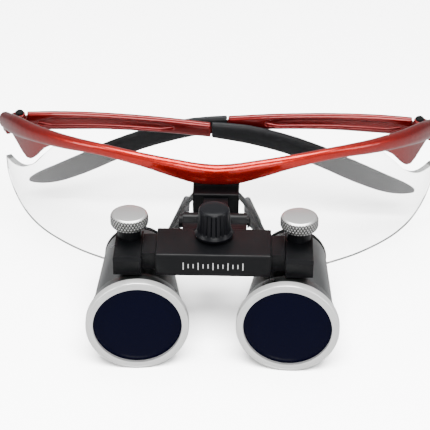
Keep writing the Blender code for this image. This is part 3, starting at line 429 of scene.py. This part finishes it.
def barrelPlace(side):
    # the barrel's own frame, with its middle at the front ring's face and +Z out of the front lens
    mount = mounts[f"front_ring_face_{side}"]
    ahead = Vector(mount["axis"]).normalized()
    across = Vector((0, 0, 1)).cross(ahead).normalized()
    up = ahead.cross(across)
    middle = Vector(mount["pos_m"]) - up * barrel["mountRadius"] * mm
    matrix = Matrix((across, up, ahead)).transposed().to_4x4()
    matrix.translation = middle
    return matrix


def makeBarrel(side):
    spot = barrelPlace(side)
    body = f"barrel_{side}"
    size = barrel
    ringOut, lip = size["ringRadius"], size["lipRadius"]
    low = -size["ringLength"]
    ring = turn(f"frontRing.{side}", [
        (lip, -0.75), (lip, -0.18), (lip + 0.06, -0.05), (lip + 0.18, 0.0), (ringOut - 0.95, 0.0),
        (ringOut - 0.90, -0.05), (ringOut - 0.88, -0.14), (ringOut - 0.78, -0.14), (ringOut - 0.76, -0.05),
        (ringOut - 0.70, 0.0), (ringOut - 0.42, 0.0), (ringOut - 0.20, -0.06), (ringOut - 0.06, -0.22),
        (ringOut, -0.45), (ringOut, low + 0.3), (ringOut - 0.08, low + 0.08), (ringOut - 0.25, low),
        (lip + 0.9, low), (lip + 0.9, -1.1), (lip, -1.1),
    ], size["steps"])
    place(smooth(ring, 30), spot)
    dress(ring, ringSilver, body, [f"front_ring_{side}"])

    def sag(radius, curve):
        return curve - math.sqrt(curve ** 2 - radius ** 2)

    lensRadius = size["lensRadius"]
    frontRadii = [lensRadius * k / 10 for k in range(11)]
    backRadii = [lensRadius * k / 5 for k in range(5, -1, -1)]
    crown = [(radius, size["lensEdge"] - sag(radius, size["frontCurve"])) for radius in frontRadii]
    back = [(radius, size["lensBack"] + sag(radius, size["backCurve"])) for radius in backRadii]
    lens = turn(f"objective.{side}", crown + back)
    place(smooth(lens, 30), spot)
    dress(lens, coatedGlass, body, [f"objective_lens_{side}"])

    top = low - size["gap"]
    collarOut, collarLow = size["collarRadius"], top - size["collarLength"]
    collar = turn(f"focusCollar.{side}", [
        (12.8, top), (collarOut - 0.35, top), (collarOut - 0.1, top - 0.12), (collarOut, top - 0.4),
        (collarOut, collarLow + 0.25), (collarOut - 0.1, collarLow + 0.05), (collarOut - 0.3, collarLow),
        (13.2, collarLow), (13.2, top - 1.6), (12.8, top - 1.6),
    ], size["steps"])
    place(smooth(collar, 30), spot)
    dress(collar, satinGrey, body, [f"focus_collar_{side}"])

    start, end = size["bodyStart"], size["bodyEnd"]
    wide, narrow = size["bodyFront"], size["bodyBack"]
    slope = (wide - narrow) / (start - end)
    shell = turn(f"barrelShell.{side}", [
        (11.4, -5.3), (12.85, -5.3), (12.85, start), (wide - 0.3, start), (wide - 0.08, start - 0.08),
        (wide, start - 0.3), (narrow + slope * 4.0, end + 4.0), (narrow + slope * 0.5, end + 0.5),
        (narrow - 0.05, end + 0.1), (narrow - 0.3, end), (9.2, end), (9.2, end + 4.0), (9.7, end + 4.0),
        (11.4, start - 3.0),
    ], size["steps"])
    place(smooth(shell, 30), spot)
    dress(shell, satinGrey, body, [f"barrel_body_{side}"])

    seat = end - 0.1
    eye = turn(f"eyepieceRim.{side}", [
        (8.0, end + 0.9), (8.98, end + 0.9), (8.98, seat), (narrow - 0.15, seat), (narrow + 0.05, seat - 0.15),
        (narrow + 0.1, seat - 1.4), (narrow - 0.05, seat - 1.8), (narrow - 0.4, seat - 2.0), (9.3, seat - 2.0),
        (8.9, seat - 1.8), (8.7, seat - 1.2),
    ], 128)
    place(smooth(eye, 30), spot)
    dress(eye, blackAnodised, body, [f"eyepiece_ring_{side}"])


for side in sides:
    makeBarrel(side)
print("barrels done")


# knobs

lockKnob = {"radius": 5.9, "neckRadius": 3.2, "neck": 0.4, "height": 4.2, "teeth": 36, "rows": 4, "tooth": 0.34}


def makeGrooveShadedSilver(side):
    # turned silver with painted shade darkening its knurl grooves, laid round the knob's own axis
    size = lockKnob
    centre = joints[f"lock_{side}_turn"]["pos_m"]
    material = newMaterial(f"silverGrooveShade.{side}", (0.80, 0.80, 0.79), 0.9, 0.30)
    shader = material.node_tree.nodes["Principled BSDF"]
    spot = addNode(material, "ShaderNodeTexCoord")
    shift = addNode(material, "ShaderNodeVectorMath", operation="SUBTRACT")
    shift.inputs[1].default_value = centre
    split = addNode(material, "ShaderNodeSeparateXYZ")
    angle = addNode(material, "ShaderNodeMath", operation="ARCTAN2")
    link(material, spot.outputs["Object"], shift.inputs[0])
    link(material, shift.outputs["Vector"], split.inputs["Vector"])
    link(material, split.outputs["Y"], angle.inputs[0])
    link(material, split.outputs["X"], angle.inputs[1])
    waves = []
    for lean in (-1, 1):
        around = addNode(material, "ShaderNodeMath", operation="MULTIPLY")
        around.inputs[1].default_value = size["teeth"]
        up = addNode(material, "ShaderNodeMath", operation="MULTIPLY_ADD")
        up.inputs[1].default_value = lean * math.pi * size["rows"] / ((size["height"] - 0.8) * mm)
        wave = addNode(material, "ShaderNodeMath", operation="COSINE")
        link(material, angle.outputs[0], around.inputs[0])
        link(material, split.outputs["Z"], up.inputs[0])
        link(material, around.outputs[0], up.inputs[2])
        link(material, up.outputs[0], wave.inputs[0])
        waves.append(wave)
    groove = addNode(material, "ShaderNodeMath", operation="MINIMUM")
    link(material, waves[0].outputs[0], groove.inputs[0])
    link(material, waves[1].outputs[0], groove.inputs[1])
    grooveShadeMask = addNode(material, "ShaderNodeMapRange")
    grooveShadeMask.inputs["From Min"].default_value = -0.75
    grooveShadeMask.inputs["From Max"].default_value = 0.30
    grooveShadeMask.inputs["To Min"].default_value = 0.0
    grooveShadeMask.inputs["To Max"].default_value = 1.0
    link(material, groove.outputs[0], grooveShadeMask.inputs["Value"])
    away = addNode(material, "ShaderNodeVectorMath", operation="LENGTH")
    flat = addNode(material, "ShaderNodeCombineXYZ")
    link(material, split.outputs["X"], flat.inputs["X"])
    link(material, split.outputs["Y"], flat.inputs["Y"])
    link(material, flat.outputs["Vector"], away.inputs[0])
    rim = addNode(material, "ShaderNodeMapRange")
    rim.inputs["From Min"].default_value = (size["radius"] - 0.30) * mm
    rim.inputs["From Max"].default_value = (size["radius"] - 0.18) * mm
    link(material, away.outputs["Value"], rim.inputs["Value"])
    tint = addNode(material, "ShaderNodeMix", data_type="FLOAT")
    tint.inputs["A"].default_value = 1.0
    link(material, rim.outputs["Result"], tint.inputs["Factor"])
    link(material, grooveShadeMask.outputs["Result"], tint.inputs["B"])
    # near black in the grooves and silver on the teeth: painted shade in the knurl grooves
    colour = addNode(material, "ShaderNodeMix", data_type="RGBA")
    colour.inputs["A"].default_value = (0.06, 0.06, 0.06, 1)
    colour.inputs["B"].default_value = (0.84, 0.84, 0.83, 1)
    link(material, tint.outputs["Result"], colour.inputs["Factor"])
    link(material, colour.outputs["Result"], shader.inputs["Base Color"])
    return material


def makeLockKnob(side):
    size = lockKnob
    low, high = size["neck"], size["neck"] + size["height"]
    radius = size["radius"]
    knurlLow, knurlHigh = low + 0.35, high - 0.45
    rows = [knurlLow + (knurlHigh - knurlLow) * k / size["rows"] for k in range(size["rows"] + 1)]
    profile = [(0, high), (radius - 0.9, high), (radius - 0.75, high - 0.03), (radius - 0.3, high - 0.32),
               (radius - 0.14, high - 0.42)]
    profile += [(radius - 0.12, z) for z in reversed(rows)]
    profile += [(radius - 0.3, low + 0.15), (radius - 0.55, low), (size["neckRadius"], low),
                (size["neckRadius"], 0), (0, 0)]
    knob = turn(f"lockKnob.{side}", profile, size["teeth"] * 2)
    mesh = knob.data
    take(knob)
    bpy.ops.object.mode_set(mode="EDIT")
    bpy.ops.mesh.select_mode(type="VERT")
    bpy.ops.mesh.select_all(action="DESELECT")
    bpy.ops.object.mode_set(mode="OBJECT")
    pitch = 2 * math.pi / (size["teeth"] * 2)
    for vert in mesh.vertices:
        row = min(range(len(rows)), key=lambda k: abs(rows[k] - vert.co.z / mm))
        onRow = abs(rows[row] - vert.co.z / mm) < 0.01 and math.hypot(vert.co.x, vert.co.y) > (radius - 0.2) * mm
        column = round(math.atan2(vert.co.y, vert.co.x) / pitch)
        vert.select = onRow and 0 < row < len(rows) - 1 and (row + column) % 2 == 0
    bpy.ops.object.mode_set(mode="EDIT")
    grow = (radius - 0.12 + size["tooth"]) / (radius - 0.12)
    bpy.ops.transform.resize(value=(grow, grow, 1), center_override=(0, 0, 0))
    bpy.ops.mesh.select_all(action="SELECT")
    bpy.ops.mesh.quads_convert_to_tris(quad_method="SHORTEST_DIAGONAL")
    bpy.ops.object.mode_set(mode="OBJECT")
    place(smooth(knob, 22), Matrix.Translation(Vector(joints[f"lock_{side}_turn"]["pos_m"])))
    dress(knob, makeGrooveShadedSilver(side), f"lock_{side}", [f"lock_knob_{side}"])


for side in sides:
    makeLockKnob(side)

centreKnob = {"skirt": 6.1, "base": 5.4, "top": 4.9, "height": 9.7, "flutes": 22, "groove": 0.94}


def makeCentreKnob():
    size = centreKnob
    high = size["height"]
    perFlute = 6
    steps = size["flutes"] * perFlute
    base, top = size["base"], size["top"]
    profile = [(0, high + 0.0), (top * 0.5, high - 0.04), (top - 1.0, high - 0.12), (top - 0.75, high - 0.22),
               (top - 0.55, high - 0.2), (top - 0.3, high - 0.35), (top - 0.08, high - 0.7)]
    profile += [(top + (base - top) * k / 4, high - 1.0 - (high - 3.0) * k / 4) for k in range(5)]
    profile += [(base + 0.05, 1.7), (base + 0.25, 1.35), (size["skirt"] - 0.1, 0.95), (size["skirt"], 0.8),
                (size["skirt"], 0.3), (size["skirt"] - 0.1, 0.08), (size["skirt"] - 0.35, 0.0), (2.1, 0), (0, 0)]
    knob = turn("centreKnob", profile, steps)
    take(knob)
    bpy.ops.object.mode_set(mode="EDIT")
    bpy.ops.mesh.select_mode(type="VERT")
    bpy.ops.mesh.select_all(action="DESELECT")
    bpy.ops.object.mode_set(mode="OBJECT")
    pitch = 2 * math.pi / steps
    for vert in knob.data.vertices:
        column = round(math.atan2(vert.co.y, vert.co.x) / pitch)
        height = vert.co.z / mm
        wall = math.hypot(vert.co.x, vert.co.y) / mm > top - 0.04
        vert.select = column % perFlute == 0 and 1.9 < height < high - 0.9 and wall
    bpy.ops.object.mode_set(mode="EDIT")
    bpy.ops.transform.resize(value=(size["groove"], size["groove"], 1), center_override=(0, 0, 0))
    bpy.ops.object.mode_set(mode="OBJECT")
    place(smooth(knob, 25), Matrix.Translation(Vector(joints["centre_knob_turn"]["pos_m"])))
    dress(knob, blackPlastic, "centre_knob", ["centre_knob"])


makeCentreKnob()
print("knobs done")


# printed marks on the bridge

marks = {"count": 13, "pitch": 1.55, "width": 0.28, "short": 1.5, "long": 2.6, "thickness": 0.03}


def makeMarks():
    low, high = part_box("bridge_housing")
    middle = (low[2] + high[2]) / 2
    size = marks
    pieces = []
    for k in range(size["count"]):
        offset = (k - (size["count"] - 1) / 2) * size["pitch"]
        tall = size["long"] if k % 3 == 0 else size["short"]
        deselectAll()
        bpy.ops.mesh.primitive_cube_add(size=1, location=(
            offset * mm, low[1] - size["thickness"] * mm / 2, middle - 0.0002))
        bpy.ops.transform.resize(value=(size["width"] * mm, size["thickness"] * mm, tall * mm))
        bpy.ops.object.transform_apply(location=True, rotation=True, scale=True)
        pieces.append(bpy.context.object)
    deselectAll()
    for piece in pieces:
        piece.select_set(True)
    bpy.context.view_layer.objects.active = pieces[0]
    bpy.ops.object.join()
    joined = bpy.context.object
    joined.name = joined.data.name = "bridgeMarks"
    dress(joined, markWhite, "bridge")


makeMarks()
print("marks done")


# studio

# place, aim, width, height and power of each lamp
lamps = {
    "topSoftbox": ((0.0, 0.15, 0.9), (0, 0, 0), 0.7, 0.45, 13.0),
    "frontSoftbox": ((0.1, -1.0, 0.55), (0, 0, 0.02), 0.7, 0.45, 9.0),
    "leftStrip": ((-0.8, -0.3, 0.5), (0, 0, 0.02), 0.2, 0.8, 4.0),
    "rightStrip": ((0.8, -0.25, 0.45), (0, 0, 0.02), 0.2, 0.8, 3.0),
    "floorSoftbox": ((0.05, -0.55, 0.95), (0, 0.05, 0), 0.75, 0.55, 120.0),
}
paperTones = {"seen": 0.92, "bounced": 0.10}
skyStrength = 0.50


def makePaper():
    # white paper, which throws less light back up than it shows
    paper = newMaterial("palePaper", (0.90, 0.90, 0.90), 0.0, 0.8, specular=0.1)
    shader = paper.node_tree.nodes["Principled BSDF"]
    path = addNode(paper, "ShaderNodeLightPath")
    bounced = addNode(paper, "ShaderNodeMath", operation="ADD")
    bounced.use_clamp = True
    tone = addNode(paper, "ShaderNodeMix", data_type="RGBA")
    for socket, tint in (("A", paperTones["seen"]), ("B", paperTones["bounced"])):
        tone.inputs[socket].default_value = (tint, tint, tint, 1)
    link(paper, path.outputs["Diffuse Depth"], bounced.inputs[0])
    link(paper, path.outputs["Glossy Depth"], bounced.inputs[1])
    link(paper, bounced.outputs[0], tone.inputs["Factor"])
    link(paper, tone.outputs["Result"], shader.inputs["Base Color"])
    return paper


def lightFloor(floor):
    # one big lamp for the paper alone, which the clear shield doesn't darken
    onFloor = bpy.data.collections.new("litFloor")
    onFloor.objects.link(floor)
    casters = bpy.data.collections.new("shadowCasters")
    for obj in bpy.context.scene.objects:
        if obj.type == "MESH" and not obj.name.startswith(("shield", "studioFloor")):
            casters.objects.link(obj)
    lamp = addLamp("floorSoftbox", *lamps["floorSoftbox"])
    lamp.light_linking.receiver_collection = onFloor
    lamp.light_linking.blocker_collection = casters


def addLamp(name, spot, aim, width, tall, power):
    data = bpy.data.lights.new(name, "AREA")
    data.shape = "RECTANGLE"
    data.size = width
    data.size_y = tall
    data.energy = power
    lamp = bpy.data.objects.new(name, data)
    bpy.context.scene.collection.objects.link(lamp)
    lamp.location = spot
    lamp.rotation_euler = (Vector(aim) - Vector(spot)).to_track_quat("-Z", "Y").to_euler()
    return lamp


def makeStudio():
    deselectAll()
    bpy.ops.mesh.primitive_plane_add(size=8, location=(0, 0, -0.0001))
    floor = bpy.context.object
    floor.name = "studioFloor"
    floor.data.materials.append(makePaper())
    world = bpy.data.worlds.new("softStudio")
    bpy.context.scene.world = world
    world.use_nodes = True
    background = world.node_tree.nodes["Background"]
    background.inputs["Color"].default_value = (1, 1, 1, 1)
    background.inputs["Strength"].default_value = skyStrength
    for name in ("topSoftbox", "frontSoftbox", "leftStrip", "rightStrip"):
        addLamp(name, *lamps[name])
    lightFloor(floor)


view = {
    "place": (0.01044, -0.49043, 0.32449), "turn": 1.275, "height": 31.3, "roll": 0.3,
    "lens": 142.66, "rise": 0.0035,
}


def makeCamera():
    turnBy, rise, roll = (math.radians(view[key]) for key in ("turn", "height", "roll"))
    back = Vector((math.sin(turnBy) * math.cos(rise), -math.cos(turnBy) * math.cos(rise), math.sin(rise)))
    across = Vector((math.cos(turnBy), math.sin(turnBy), 0))
    up = back.cross(across)
    rolledAcross = across * math.cos(roll) + up * math.sin(roll)
    rolledUp = up * math.cos(roll) - across * math.sin(roll)
    data = bpy.data.cameras.new("camera")
    data.lens = view["lens"]
    data.sensor_width = 36
    data.shift_y = view["rise"]
    data.clip_start = 0.01
    camera = bpy.data.objects.new("camera", data)
    bpy.context.scene.collection.objects.link(camera)
    matrix = Matrix((rolledAcross, rolledUp, back)).transposed().to_4x4()
    matrix.translation = Vector(view["place"])
    camera.matrix_world = matrix
    bpy.context.scene.camera = camera


makeStudio()
makeCamera()
print("studio done")
